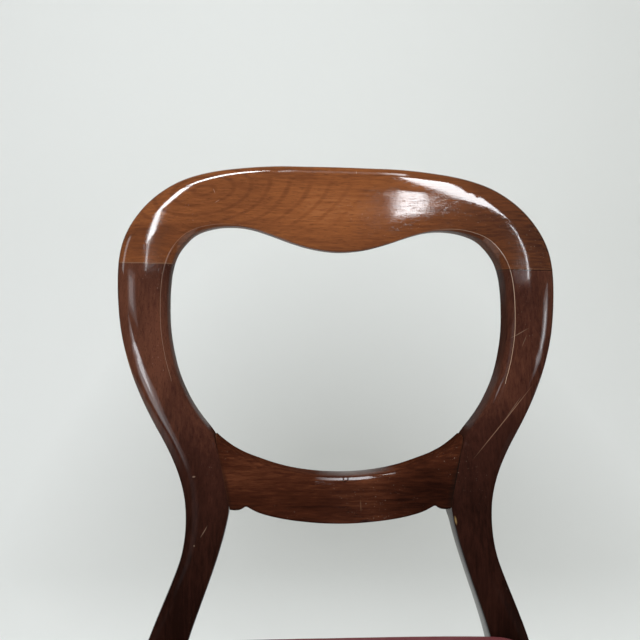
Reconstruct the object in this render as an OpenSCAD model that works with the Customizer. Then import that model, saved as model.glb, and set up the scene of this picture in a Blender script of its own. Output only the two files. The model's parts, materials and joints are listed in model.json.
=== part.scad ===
// Victorian balloon back dining chair with a drop-in seat.
// X runs to the right of someone facing the chair, the chair faces -Y, and Z is up.
// The origin is on the floor, under the middle of the whole chair.

/* [Overall] */
// Height of the crest above the floor
chair_h = 881; // [860:1:900]
// Width across the balloon at its widest
back_w = 408; // [395:1:425]
// Height of the lowest point of the opening, on the cross rail
opening_z = 598; // [588:1:608]
// Height of the top of the seat rails
seat_z = 430; // [415:1:445]
// Depth from the front of the front legs to the front of the back posts
seat_depth = 400; // [380:1:420]
// Width over the front legs
front_w = 452; // [435:1:470]
// Width over the back posts at the seat
rear_w = 348; // [338:1:360]

/* [Carved back] */
// Thickness of the carved back from front to rear
back_t = 27; // [25:0.5:31]
// Lean of the back from upright, in degrees
rake_deg = 12.5; // [10:0.5:14]
// How far the middle of the back is hollowed behind its sides
back_hollow = 14; // [8:1:18]
// Width of the rounded shoulder along the outer edge
shoulder_w = 22; // [17:0.5:23]
// How far the shoulder falls back at the outer edge
shoulder_d = 9; // [6:0.5:11]
// Width of the bevel round the opening
bevel_w = 6.5; // [5:0.5:8]
// How far the bevel falls back at the opening
bevel_d = 5; // [4:0.5:7]
// Radius that eases the sharp edges
ease_r = 2.5; // [1.5:0.5:3]

/* [Back posts] */
// Width of a back post at the seat
post_w = 37; // [35:0.5:40]
// Depth of a back post at the seat
post_d = 34; // [32:0.5:37]
// Width over the back feet
rear_foot_w = 366; // [352:1:380]
// Width and depth of a back foot
foot_t = 27; // [25:0.5:30]
// How far a back foot stands behind the seat
foot_kick = 62; // [50:1:75]

/* [Front legs] */
// Side of the square head of a front leg
head_w = 42; // [40:0.5:45]
// Diameter of the turned shaft of a front leg at its thickest
shaft_d = 41; // [38:0.5:42]
// Diameter of a front foot where it meets the floor
peg_d = 20; // [18:0.5:23]

/* [Seat rails] */
// Height of the seat rails
rail_h = 58; // [54:1:64]
// Thickness of the seat rails
rail_t = 24; // [22:0.5:26]
// Set back of the rails from the faces of the legs
rail_set = 2; // [1:0.5:3]
// Width of the ledge that carries the drop-in seat
ledge_w = 10; // [8:0.5:11]
// Depth of the rebate above that ledge
rebate_d = 14; // [12:0.5:16]

/* [Joinery] */
// Thickness of a tenon
tenon_t = 9; // [8:0.5:10]
// Length of a tenon
tenon_len = 18; // [14:0.5:20]
// Clearance of a tenon in its mortise
tenon_gap = 0.2; // [0.1:0.05:0.3]
// Diameter of a dowel
dowel_d = 9; // [8:0.5:10]
// Length of a dowel
dowel_len = 50; // [40:1:56]
// Clearance round a dowel and a screw
dowel_gap = 0.1; // [0.05:0.05:0.2]
// Diameter of a corner block screw
screw_d = 4; // [3.5:0.5:4.5]
// Length of a corner block screw
screw_len = 32; // [30:1:34]
// Length of a corner block along each rail
block_len = 36; // [34:1:40]
// Height of a corner block
block_h = 32; // [26:1:36]

/* [Drop-in seat] */
// Width of the members of the seat frame
member_w = 46; // [40:1:54]
// Thickness of the seat frame
member_t = 20; // [18:0.5:23]
// Thickness of the seat cover
cover_t = 1.2; // [1:0.1:1.5]
// Gap between the covered seat and the rebate
seat_gap = 1; // [0.8:0.1:1.5]
// Rise of the stuffing over the seat frame at the middle
crown_h = 37; // [32:1:44]
// Width of a strap of webbing
web_w = 50; // [44:1:54]
// Thickness of a strap of webbing
web_t = 1.4; // [1.2:0.1:1.6]
// Number of straps each way
web_count = 3; // [3:1:4]
// Thickness of the base cloth and of the dust cover
cloth_t = 0.8; // [0.6:0.1:1]
// Diameter of the head of a tack
tack_d = 7; // [5:0.5:8]
// Spacing of the tacks
tack_pitch = 34; // [30:1:44]

/* [Hidden] */

// Overrun of a cut past the face it opens
over = 1;
// Clear space left where two soft pieces lie on each other
soft_gap = 0.3;
// Number of sides of round holes and turnings
$fn = 64;

// Paired points of the crest, from the joint to the middle: outer x and z, then inner x and z.
// An x is a share of half the back's width, a z a share of the height from opening_z to the crest.
// The first and the last row of this table and of cross_shares only steer the curve at its ends.
crest_shares = [
    [0.998, 0.572, 0.770, 0.572],
    [1.000, 0.648, 0.757, 0.648],
    [0.984, 0.724, 0.728, 0.697],
    [0.939, 0.797, 0.668, 0.746],
    [0.861, 0.869, 0.585, 0.770],
    [0.743, 0.931, 0.498, 0.777],
    [0.597, 0.968, 0.412, 0.771],
    [0.440, 0.987, 0.323, 0.752],
    [0.293, 0.997, 0.225, 0.727],
    [0.147, 0.999, 0.117, 0.706],
    [0.000, 1.000, 0.000, 0.697],
    [-0.147, 0.999, -0.117, 0.706]
];
// Height, outer x and inner x of a post beside the balloon, as shares of the same sizes.
// Along the seam with the cross rail the inner x is taken from the seam instead.
stile_shares = [
    [-0.262, 0.681, 0.526], [-0.206, 0.667, 0.503], [-0.149, 0.663, 0.485], [-0.114, 0.667, 0.478],
    [-0.064, 0.679, 0.475], [0.006, 0.712, 0.490], [0.077, 0.761, 0.497], [0.105, 0.784, 0.548],
    [0.148, 0.820, 0.600], [0.184, 0.847, 0.638], [0.219, 0.872, 0.668], [0.289, 0.915, 0.714],
    [0.360, 0.949, 0.743], [0.431, 0.974, 0.762], [0.501, 0.989, 0.769], [0.572, 0.998, 0.770],
    [0.648, 1.000, 0.757], [0.724, 0.984, 0.700]
];
// Top and bottom points of the cross rail, from the middle to its seam with a post
cross_shares = [
    [-0.098, -0.015, -0.088, -0.158],
    [0.000, -0.018, 0.000, -0.160], [0.098, -0.015, 0.088, -0.158], [0.196, -0.006, 0.186, -0.151],
    [0.284, 0.009, 0.264, -0.142], [0.362, 0.028, 0.342, -0.128], [0.411, 0.041, 0.386, -0.114],
    [0.440, 0.051, 0.409, -0.105], [0.469, 0.062, 0.424, -0.112], [0.504, 0.079, 0.447, -0.116],
    [0.548, 0.105, 0.476, -0.114],
    [0.600, 0.148, 0.505, -0.108]
];
// Height and radius down a turned front leg, as shares of its length and of half shaft_d
shaft_shares = [
    [1.000, 0.780], [0.985, 0.780], [0.980, 0.930], [0.972, 0.985], [0.962, 1.000], [0.952, 0.985],
    [0.944, 0.930], [0.940, 0.720], [0.925, 0.620], [0.905, 0.600], [0.890, 0.640], [0.886, 0.780],
    [0.879, 0.830], [0.871, 0.830], [0.864, 0.780], [0.860, 0.700], [0.845, 0.790], [0.820, 0.900],
    [0.790, 0.960], [0.755, 0.980], [0.715, 0.960], [0.660, 0.905], [0.560, 0.800], [0.440, 0.690],
    [0.320, 0.590], [0.220, 0.520], [0.165, 0.490], [0.160, 0.580], [0.153, 0.620], [0.145, 0.620],
    [0.138, 0.580], [0.134, 0.490], [0.120, 0.500], [0.095, 0.560], [0.070, 0.590], [0.045, 0.570]
];

half_w = back_w / 2;
back_h = chair_h - opening_z;
rear_half = rear_w / 2;
front_half = front_w / 2;
rake = tan(rake_deg);

// Heights where the posts change: the crest joint and the two ends of the cross rail's seam
joint_share = crest_shares[1][1];
seam_shares = cross_shares[len(cross_shares) - 2];
joint_z = up(joint_share);
seam_top_z = up(seam_shares[1]);
seam_low_z = up(seam_shares[3]);
// The posts stand plumb along the seat rails and lean at the full rake from straight_z up
straight_z = opening_z - back_h * 0.135;

// Places along Y, before the whole chair is centred
post_front_y = -post_d / 2;
legs_front_y = post_front_y - seat_depth;
rear_most_y = max(lean_y(chair_h - ease_r) + back_t / 2, foot_kick + foot_t / 2);
centre_y = (legs_front_y + rear_most_y) / 2;

// Plan of the seat rails and of the pocket for the drop-in seat
rail_low_z = seat_z - rail_h;
ledge_z = seat_z - rebate_d;
wall_t = rail_t - ledge_w;
head_back_y = legs_front_y + head_w;
side_back_x = rear_half - rail_set;
side_front_x = front_half - rail_set;
side_slope = (side_front_x - side_back_x) / (post_front_y - head_back_y);
side_angle = atan(side_slope);
pocket_front_y = legs_front_y + rail_set + wall_t;
tenon_h = rail_h - rebate_d - rail_h / 5;
tenon_low_z = rail_low_z + rail_h / 10;

// Drop-in seat, from the ledge up
lip_w = ledge_w + cover_t;
frame_low_z = ledge_z + soft_gap + cover_t;
frame_top_z = frame_low_z + member_t;
web_low_z = frame_top_z;
tack_head_t = tack_d / 8;
tack_shank_d = tack_d * 0.28;
hessian_z = web_low_z + 2 * web_t + tack_head_t + soft_gap;
pad_low_z = hessian_z + cloth_t;
frame_in = seat_gap + cover_t;

// Smooth curves
function mix(a, b, t) = a + (b - a) * t;
function ramp(t) = let(c = min(max(t, 0), 1)) c * c * (3 - 2 * c);
function up(share) = opening_z + back_h * share;
function knot(list, i) = list[min(max(i, 0), len(list) - 1)];
function curve_at(list, t) =
    let(i = min(floor(t), len(list) - 2), f = t - i,
        a = knot(list, i - 1), b = knot(list, i), c = knot(list, i + 1), d = knot(list, i + 2))
    b + ((c - a) * f + (2 * a - 5 * b + 4 * c - d) * f * f + (3 * b - 3 * c + d - a) * f * f * f) / 2;
function span(rows, z, i = 0) = i >= len(rows) - 2 || z <= rows[i + 1][0] ? i : span(rows, z, i + 1);
function slope_at(rows, i, k) =
    let(a = knot(rows, i - 1), b = knot(rows, i + 1)) (b[k] - a[k]) / (b[0] - a[0]);
function row_at(rows, z, k) =
    let(i = span(rows, z), w = rows[i + 1][0] - rows[i][0], t = (z - rows[i][0]) / w,
        a = rows[i][k], b = rows[i + 1][k], ma = slope_at(rows, i, k) * w, mb = slope_at(rows, i + 1, k) * w)
    a + ma * t + (3 * (b - a) - 2 * ma - mb) * t * t + (2 * (a - b) + ma + mb) * t * t * t;

// Side view: how far the middle of the wood lies behind the plumb part of the post
function lean_y(z) =
    z > straight_z ? rake * (z - (straight_z + seat_z) / 2)
    : z > seat_z ? rake * pow(z - seat_z, 2) / (straight_z - seat_z) / 2
    : foot_kick * pow(max(rail_low_z - z, 0) / rail_low_z, 2);
// Plan view: the sides of the back come forward of its middle
function above_seat(z) = ramp((z - seat_z) / (straight_z - seat_z));
function hollow_y(x, z) = -back_hollow * pow(x / half_w, 2) * above_seat(z);
function wood_y(x, z) = lean_y(z) + hollow_y(x, z) - centre_y;

// Front view of a post, as rows of height, outer x and inner x
foot_rows = [
    [0, rear_foot_w / 2, rear_foot_w / 2 - foot_t],
    [seat_z * 0.4, mix(rear_foot_w / 2, rear_half, 0.55),
        mix(rear_foot_w / 2 - foot_t, rear_half - post_w, 0.55)],
    [seat_z - rail_h, rear_half + rail_set / 2, rear_half - post_w],
    [seat_z, rear_half - rail_set / 2, rear_half - post_w]
];
stile_rows = [for (s = stile_shares) [up(s[0]), half_w * s[1], half_w * s[2]]];
post_rows = concat(foot_rows, stile_rows);
function post_out(z) = row_at(post_rows, z, 1);
function post_in(z) =
    z >= seam_low_z && z <= seam_top_z
    ? mix(seam_low_x, seam_top_x, (z - seam_low_z) / (seam_top_z - seam_low_z))
    : row_at(post_rows, z, 2);
seam_low_x = half_w * seam_shares[2];
seam_top_x = half_w * seam_shares[0];

// Edges of the back in the front view, as pairs of points across each member
function between_guides(keys, steps) =
    [for (i = [0:steps]) curve_at(keys, 1 + i * (len(keys) - 3) / steps)];
crest_steps = 54;
crest_keys = [for (s = crest_shares) [half_w * s[0], up(s[1]), half_w * s[2], up(s[3])]];
crest_half = between_guides(crest_keys, crest_steps / 2);
cross_steps = 36;
cross_keys = [for (s = cross_shares) [half_w * s[0], up(s[1]), half_w * s[2], up(s[3])]];
cross_half = between_guides(cross_keys, cross_steps / 2);
stile_steps = 16;
seam_steps = 7;
waist_steps = 10;
leg_steps = 14;
post_zs = concat(
    [for (i = [0:stile_steps - 1]) mix(joint_z, seam_top_z, i / stile_steps)],
    [for (i = [0:seam_steps - 1]) mix(seam_top_z, seam_low_z, i / seam_steps)],
    [for (i = [0:waist_steps - 1]) mix(seam_low_z, seat_z, i / waist_steps)],
    [for (i = [0:leg_steps]) mix(seat_z, 0, i / leg_steps)]
);
outer_line = concat(
    [for (i = [crest_steps / 2:-1:1]) [crest_half[i][0], crest_half[i][1]]],
    [for (z = post_zs) [post_out(z), z]]
);
opening_line = concat(
    [for (i = [crest_steps / 2:-1:1]) [crest_half[i][2], crest_half[i][3]]],
    [for (i = [0:stile_steps]) [post_in(post_zs[i]), post_zs[i]]],
    [for (i = [cross_steps / 2 - 1:-1:0]) [cross_half[i][0], cross_half[i][1]]]
);
function reach(p, a, b) =
    let(ab = b - a, t = min(max((p - a) * ab / (ab * ab), 0), 1)) norm(p - a - ab * t);
function reach_line(p, line) = min([for (i = [0:len(line) - 2]) reach(p, line[i], line[i + 1])]);

// Fall of the front face near an edge: a quarter round for the shoulder, a near flat for the bevel
function round_fall(d, w, depth) = d >= w ? 0 : depth * (1 - sqrt(1 - pow(1 - d / w, 2)));
function bevel_fall(d, w, depth) = d >= w ? 0 : depth * pow(1 - d / w, 1.25);
// Under the crest the bevel fades to a share of itself between two shares of half the width
crest_bevel_share = 0.2;
fade_shares = [0.42, 0.72];
function bevel_share(x, z) =
    z < joint_z ? 1
    : mix(crest_bevel_share, 1, ramp((x / half_w - fade_shares[0]) / (fade_shares[1] - fade_shares[0])));
function shoulder_share(z) = mix(0.3, 1, ramp((z - seat_z) / (opening_z - seat_z)));
function wood_t(z) =
    z > straight_z ? back_t
    : z > seat_z ? mix(post_d, back_t, above_seat(z))
    : z > rail_low_z ? post_d
    : mix(foot_t, post_d, ramp(z / rail_low_z));
function face_fall(p) =
    let(q = [abs(p[0]), p[1]], s = shoulder_share(q[1]), b = bevel_share(q[0], q[1]),
        out = reach_line(q, outer_line), in = q[1] < seam_low_z ? bevel_w : reach_line(q, opening_line))
    round_fall(out, shoulder_w * s, shoulder_d * s) + bevel_fall(in, bevel_w * b, bevel_d * b);

// Spacing of the points across a member: a share of the shoulder, and of the bevel
shoulder_point_shares = [0, 0.03, 0.11, 0.25, 0.45, 0.7, 1];
bevel_point_shares = [1, 0.6, 0.25, 0];

// One ring round a member, between an outer point a and an inner point b of the front view.
// eases holds the radius at the front near a, the front near b, the back near a and the back near b.
function ring(a, b, near_w, far_w, eases) =
    let(w = norm(b - a), dir = (b - a) / w,
        front = concat([for (s = shoulder_point_shares) near_w * s],
            [for (k = [1:2]) mix(near_w, w - far_w, k / 3)],
            [for (s = bevel_point_shares) w - far_w * s]),
        back = [w, w - ease_r, w * 2 / 3, w / 3, ease_r, 0])
    concat(
        [for (d = front) let(p = a + dir * d, t = wood_t(p[1]))
            [p[0], wood_y(p[0], p[1]) - t / 2 + min(face_fall(p) + round_fall(d, ease_r, eases[0])
                + round_fall(w - d, ease_r, eases[1]), t / 2), p[1]]],
        [for (i = [0:len(back) - 1]) let(p = a + dir * back[i])
            [p[0], wood_y(p[0], p[1]) + wood_t(p[1]) / 2
                - (i == 0 ? eases[3] : i == 5 ? eases[2] : 0), p[1]]]
    );

// A solid through rings of points, closed at each end by a fan of triangles from the ring's middle
function middle(ring) = [for (p = ring) 1] * ring / len(ring);
module through_rings(rings) {
    n = len(rings);
    m = len(rings[0]);
    sides = [for (i = [0:n - 2], j = [0:m - 1]) let(k = (j + 1) % m)
        each [[i * m + j, i * m + k, i * m + m + j], [i * m + k, i * m + m + k, i * m + m + j]]];
    first = [for (j = [0:m - 1]) [n * m, (j + 1) % m, j]];
    last = [for (j = [0:m - 1]) [n * m + 1, (n - 1) * m + j, (n - 1) * m + (j + 1) % m]];
    polyhedron(concat([for (r = rings) each r], [middle(rings[0]), middle(rings[n - 1])]),
        concat(sides, first, last), convexity = 8);
}
module mirrored() {
    children();
    mirror([1, 0, 0]) children();
}

// Crest rail
function flip(pair) = [-pair[0], pair[1], -pair[2], pair[3]];
crest_pairs = concat(crest_half, [for (i = [crest_steps / 2 - 1:-1:0]) flip(crest_half[i])]);
module crest_rail() {
    color("#8a5230") difference() {
        through_rings([for (p = crest_pairs) ring([p[0], p[1]], [p[2], p[3]], shoulder_w,
            bevel_w * bevel_share(abs(p[2]), p[3]), [ease_r / 2, 0, ease_r, ease_r])]);
        mirrored() crest_pegs(dowel_gap);
    }
}

// Dowels that pin the crest to the top of each post
peg_x_shares = [0.32, 0.68];
module crest_pegs(gap) {
    for (s = peg_x_shares) {
        x = mix(post_in(joint_z), post_out(joint_z), s);
        translate([x, wood_y(x, joint_z), joint_z]) rotate([-rake_deg, 0, 0])
            cylinder(h = dowel_len + gap * 4, d = dowel_d + gap * 2, center = true);
    }
}
module crest_dowels() {
    color("#c79a63") mirrored() crest_pegs(0);
}

// Back posts, each one length of wood from the foot to the crest
function post_ring(z) =
    let(out = post_out(z), in = post_in(z), w = out - in,
        front_ease = z < seam_low_z ? ease_r : 0, back_ease = z < seam_low_z || z >= seam_top_z ? ease_r : 0)
    ring([out, z], [in, z], min(shoulder_w * shoulder_share(z), w * 0.6), min(bevel_w, w * 0.22),
        [ease_r / 2, front_ease, ease_r, back_ease]);
cross_tenon_z = mix(seam_low_z, seam_top_z, 0.5);
cross_tenon_h = (seam_top_z - seam_low_z) * 0.5;
module cross_tenon(gap) {
    x = mix(seam_low_x, seam_top_x, 0.5);
    translate([x - tenon_len / 3, wood_y(x, cross_tenon_z) - tenon_t / 2 - gap, cross_tenon_z])
        rotate([-rake_deg, 0, 0]) translate([0, 0, -cross_tenon_h / 2 - gap])
            cube([tenon_len * 4 / 3 + gap * 2, tenon_t + gap * 2, cross_tenon_h + gap * 2]);
}
module post() {
    difference() {
        through_rings([for (z = post_zs) post_ring(z)]);
        crest_pegs(dowel_gap);
        cross_tenon(tenon_gap);
        side_tenons(tenon_gap);
        back_tenon(tenon_gap);
    }
}
module left_back_post() {
    color("#5a2c1e") mirror([1, 0, 0]) post();
}
module right_back_post() {
    color("#5a2c1e") post();
}

// Cross rail, carved on the same surface as the posts and tenoned into them
cross_pairs = concat([for (i = [cross_steps / 2:-1:1]) flip(cross_half[i])], cross_half);
module cross_rail() {
    color("#642f20") union() {
        through_rings([for (p = cross_pairs) ring([p[2], p[3]], [p[0], p[1]], ease_r * 2, bevel_w,
            [ease_r, 0, ease_r, ease_r])]);
        mirrored() cross_tenon(0);
    }
}

// Plan outline of the right side rail, as x on a line a set distance in from its outer face
function side_x(y, in) = side_back_x + (post_front_y - y) * side_slope - in / cos(side_angle);
module side_plan(in_a, in_b, y_a, y_b) {
    polygon([[side_x(y_a, in_a), y_a - centre_y], [side_x(y_b, in_a), y_b - centre_y],
        [side_x(y_b, in_b), y_b - centre_y], [side_x(y_a, in_b), y_a - centre_y]]);
}
module side_tenons(gap) {
    in = (rail_t - tenon_t) / 2;
    translate([0, 0, tenon_low_z - gap]) linear_extrude(tenon_h + gap * 2)
        side_plan(in - gap, in + tenon_t + gap,
            head_back_y - tenon_len - gap, post_front_y + tenon_len + gap);
}
module seat_pocket() {
    translate([0, 0, ledge_z]) linear_extrude(rebate_d + over)
        polygon([[-side_x(pocket_front_y, wall_t), pocket_front_y - centre_y],
            [side_x(pocket_front_y, wall_t), pocket_front_y - centre_y],
            [side_x(post_front_y, wall_t), post_front_y - centre_y],
            [-side_x(post_front_y, wall_t), post_front_y - centre_y]]);
}
module side_rail() {
    color("#5e2e1f") difference() {
        union() {
            translate([0, 0, rail_low_z]) linear_extrude(rail_h)
                side_plan(0, rail_t, head_back_y, post_front_y);
            side_tenons(0);
        }
        seat_pocket();
        corner_screws(true);
    }
}
module left_side_rail() {
    mirror([1, 0, 0]) side_rail();
}
module right_side_rail() {
    side_rail();
}

// Back seat rail, between the posts, with the ledge in front of them
back_rail_y = post_front_y - ledge_w;
back_tenon_y = post_front_y + (rail_t - ledge_w) * 0.2;
back_tenon_t = (rail_t - ledge_w) * 0.6;
post_face_x = rear_half - post_w;
module back_tenon(gap) {
    translate([post_face_x - tenon_len / 2, back_tenon_y - centre_y - gap, tenon_low_z - gap])
        cube([tenon_len * 1.1 + gap, back_tenon_t + gap * 2, tenon_h + gap * 2]);
}
module back_seat_rail() {
    color("#6b3a26") difference() {
        union() {
            translate([-post_face_x, back_rail_y - centre_y, rail_low_z])
                cube([post_face_x * 2, rail_t, rail_h]);
            mirrored() back_tenon(0);
        }
        seat_pocket();
        mirrored() corner_screws(true);
    }
}

// Front seat rail, between the heads of the front legs
front_rail_y = legs_front_y + rail_set;
head_in_x = front_half - head_w;
module front_tenon(gap) {
    y = front_rail_y - centre_y + (rail_t - tenon_t) / 2;
    translate([head_in_x - tenon_len / 2, y - gap, tenon_low_z - gap])
        cube([tenon_len * 1.5 + gap, tenon_t + gap * 2, tenon_h + gap * 2]);
}
module front_seat_rail() {
    color("#5e2e1f") difference() {
        union() {
            translate([-head_in_x, front_rail_y - centre_y, rail_low_z])
                cube([head_in_x * 2, rail_t, rail_h]);
            mirrored() front_tenon(0);
        }
        seat_pocket();
        mirrored() corner_screws(true);
    }
}

// Front legs: a square head over a turned shaft
leg_x = front_half - head_w / 2;
leg_y = legs_front_y + head_w / 2;
module front_leg() {
    color("#5a2c1e") difference() {
        translate([leg_x, leg_y - centre_y, 0]) union() {
            translate([-head_w / 2, -head_w / 2, rail_low_z]) cube([head_w, head_w, rail_h]);
            rotate_extrude() polygon(concat([[0, rail_low_z]],
                [for (s = shaft_shares) [shaft_d / 2 * s[1], rail_low_z * s[0]]],
                [[peg_d / 2, 0], [0, 0]]));
        }
        seat_pocket();
        front_tenon(tenon_gap);
        side_tenons(tenon_gap);
    }
}
module left_front_leg() {
    mirror([1, 0, 0]) front_leg();
}
module right_front_leg() {
    front_leg();
}

// Corner blocks, glued and screwed in the four corners under the ledge.
// The long free side of a block runs between the two points in its ends.
block_z = ledge_z - rebate_d / 3 - block_h;
front_in_y = front_rail_y + rail_t;
front_ends = [[head_in_x - block_len, front_in_y],
    [side_x(head_back_y + block_len, rail_t), head_back_y + block_len]];
back_ends = [[post_face_x - block_len, back_rail_y],
    [side_x(back_rail_y - block_len, rail_t), back_rail_y - block_len]];
module block(points) {
    color("#b58a5a") difference() {
        translate([0, -centre_y, block_z]) linear_extrude(block_h) polygon(points);
        corner_screws(true);
    }
}
module front_block() {
    block([front_ends[0], [head_in_x, front_in_y], [head_in_x, head_back_y],
        [side_x(head_back_y, rail_t), head_back_y], front_ends[1]]);
}
module back_block() {
    block([back_ends[0], [post_face_x, back_rail_y], [post_face_x, post_front_y],
        [side_x(post_front_y, rail_t), post_front_y], back_ends[1]]);
}
module left_front_block() {
    mirror([1, 0, 0]) front_block();
}
module right_front_block() {
    front_block();
}
module left_back_block() {
    mirror([1, 0, 0]) back_block();
}
module right_back_block() {
    back_block();
}

// Screws of the right-hand corner blocks, one into each rail, sunk below the free side
screw_head_d = screw_d * 2;
module block_screw(at, share, turn, cut) {
    gap = cut ? dowel_gap : 0;
    translate([at[0], at[1] - centre_y, block_z + block_h * share]) rotate([0, 90, turn])
        translate([0, 0, screw_head_d / 2]) {
            cylinder(h = screw_len + gap, d = screw_d + gap * 2);
            translate([0, 0, cut ? -screw_head_d : 0])
                cylinder(h = screw_head_d * (cut ? 1 : 0) + screw_d * 0.6 + gap, d = screw_head_d + gap * 2);
        }
}
module corner_screws(cut) {
    block_screw(mix(front_ends[0], front_ends[1], 0.35), 0.3, -90, cut);
    block_screw(mix(front_ends[0], front_ends[1], 0.65), 0.7, 0, cut);
    block_screw(mix(back_ends[0], back_ends[1], 0.35), 0.3, 90, cut);
    block_screw(mix(back_ends[0], back_ends[1], 0.65), 0.7, 0, cut);
}
module block_screws() {
    color("#b9a26a") mirrored() corner_screws(false);
}

// Plan of the drop-in seat, a set distance in from the walls of the rebate
function seat_front_y(in) = pocket_front_y + in - centre_y;
function seat_back_y(in) = post_front_y - in - centre_y;
function seat_x(y, in) = side_x(y + centre_y, wall_t + in);
function seat_corners(in) = [
    [seat_x(seat_front_y(in), in), seat_front_y(in)], [seat_x(seat_back_y(in), in), seat_back_y(in)],
    [-seat_x(seat_back_y(in), in), seat_back_y(in)], [-seat_x(seat_front_y(in), in), seat_front_y(in)]
];

// Seat frame: the side members run through, and the front and back ones are tenoned between them
member_front_y = seat_front_y(frame_in);
member_back_y = seat_back_y(frame_in);
module member_side_plan() {
    in = frame_in;
    polygon([[seat_x(member_front_y, in), member_front_y], [seat_x(member_back_y, in), member_back_y],
        [seat_x(member_back_y, in + member_w), member_back_y],
        [seat_x(member_front_y, in + member_w), member_front_y]]);
}
module member_across(y0, y1, into) {
    in = frame_in + member_w - into;
    polygon([[seat_x(y0, in), y0], [seat_x(y1, in), y1], [-seat_x(y1, in), y1], [-seat_x(y0, in), y0]]);
}
module member_tenons(y0, y1, gap) {
    cut = (y1 - y0) / 5;
    translate([0, 0, frame_low_z + member_t / 3 - gap]) linear_extrude(member_t / 3 + gap * 2)
        member_across(y0 + cut - gap, y1 - cut + gap, member_w * 0.6 + gap);
}
module seat_frame_front() {
    color("#c9a36b") union() {
        translate([0, 0, frame_low_z]) linear_extrude(member_t)
            member_across(member_front_y, member_front_y + member_w, 0);
        member_tenons(member_front_y, member_front_y + member_w, 0);
    }
}
module seat_frame_back() {
    color("#c9a36b") union() {
        translate([0, 0, frame_low_z]) linear_extrude(member_t)
            member_across(member_back_y - member_w, member_back_y, 0);
        member_tenons(member_back_y - member_w, member_back_y, 0);
    }
}
module seat_side() {
    color("#c9a36b") difference() {
        translate([0, 0, frame_low_z]) linear_extrude(member_t) intersection() {
            member_side_plan();
            polygon(seat_loop(frame_in));
        }
        member_tenons(member_front_y, member_front_y + member_w, tenon_gap);
        member_tenons(member_back_y - member_w, member_back_y, tenon_gap);
    }
}
module seat_frame_left() {
    mirror([1, 0, 0]) seat_side();
}
module seat_frame_right() {
    seat_side();
}

// Webbing, stretched over the frame and tacked on its top
web_margin = member_w * 0.3;
web_y0 = member_front_y + web_margin;
web_y1 = member_back_y - web_margin;
function web_long_x(i) = seat_x(member_back_y, frame_in) * (-1 + (2 * i + 1) / web_count);
function web_cross_y(i) = mix(member_front_y, member_back_y, (i + 0.75) / (web_count + 0.5));
module webbing_long() {
    color("#c8b48c") for (i = [0:web_count - 1])
        translate([web_long_x(i) - web_w / 2, web_y0, web_low_z]) cube([web_w, web_y1 - web_y0, web_t]);
}
module webbing_cross() {
    color("#c8b48c") for (i = [0:web_count - 1]) {
        half = seat_x(web_cross_y(i) + web_w / 2, frame_in) - web_margin;
        translate([-half, web_cross_y(i) - web_w / 2, web_low_z + web_t]) cube([half * 2, web_w, web_t]);
    }
}
module tack(x, y, z, dir) {
    translate([x, y, z]) mirror([0, 0, dir > 0 ? 0 : 1]) {
        cylinder(h = tack_head_t, d = tack_d, $fn = 24);
        translate([0, 0, -tack_d]) cylinder(h = tack_d, d = tack_shank_d, $fn = 16);
    }
}
module webbing_tacks() {
    inset = web_margin * 0.6;
    color("#4c5058") for (i = [0:web_count - 1], s = [-1, 0, 1]) {
        off = s * web_w / 3;
        tack(web_long_x(i) + off, web_y0 + inset, web_low_z + web_t, 1);
        tack(web_long_x(i) + off, web_y1 - inset, web_low_z + web_t, 1);
        half = seat_x(web_cross_y(i) + web_w / 2, frame_in) - web_margin - inset;
        tack(half, web_cross_y(i) + off, web_low_z + web_t * 2, 1);
        tack(-half, web_cross_y(i) + off, web_low_z + web_t * 2, 1);
    }
}
module hessian() {
    color("#a98f63") translate([0, 0, hessian_z]) linear_extrude(cloth_t)
        polygon(seat_corners(frame_in + web_margin / 2));
}

// A loop round the seat's plan, with round corners, drawn in and then shrunk towards its middle
side_points = 5;
corner_points = 3;
corner_r = member_w * 0.3;
seat_mid_y = (seat_front_y(0) + seat_back_y(0)) / 2;
function toward(a, b) = (b - a) / norm(b - a);
function corner_arc(a, b, c, r) =
    let(p = b + toward(b, a) * r, q = b + toward(b, c) * r)
    [for (i = [0:corner_points]) let(t = i / corner_points, u = 1 - t) u * u * p + 2 * u * t * b + t * t * q];
function seat_loop(in) =
    let(c = seat_corners(in), r = max(corner_r - in, ease_r),
        arcs = [for (i = [0:3]) corner_arc(c[(i + 3) % 4], c[i], c[(i + 1) % 4], r)])
    [for (i = [0:3]) let(a = arcs[i], b = arcs[(i + 1) % 4])
        each concat(a, [for (k = [1:side_points]) mix(a[corner_points], b[0], k / (side_points + 1))])];
function loop_at(in, share, z) =
    [for (p = seat_loop(in)) [p[0] * share, seat_mid_y + (p[1] - seat_mid_y) * share, z]];

// Crown of the stuffing: nearly upright at the edge, then rounding over to a low dome.
// Each row is the share of the plan and the share of the rise.
crown_shares = [
    [1.000, 0.000], [1.004, 0.150], [1.002, 0.300], [0.992, 0.440], [0.970, 0.560], [0.930, 0.670],
    [0.860, 0.790], [0.760, 0.870], [0.630, 0.930], [0.480, 0.970], [0.300, 0.992], [0.120, 1.000]
];
function crown_loops(in, low_z, rise) =
    [for (s = crown_shares) loop_at(in, s[0], low_z + rise * s[1])];
function backward(list) = [for (i = [len(list) - 1:-1:0]) list[i]];
module seat_pad() {
    color("#3b3027") through_rings(backward(crown_loops(frame_in + soft_gap, pad_low_z + soft_gap,
        crown_h - soft_gap)));
}

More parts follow.
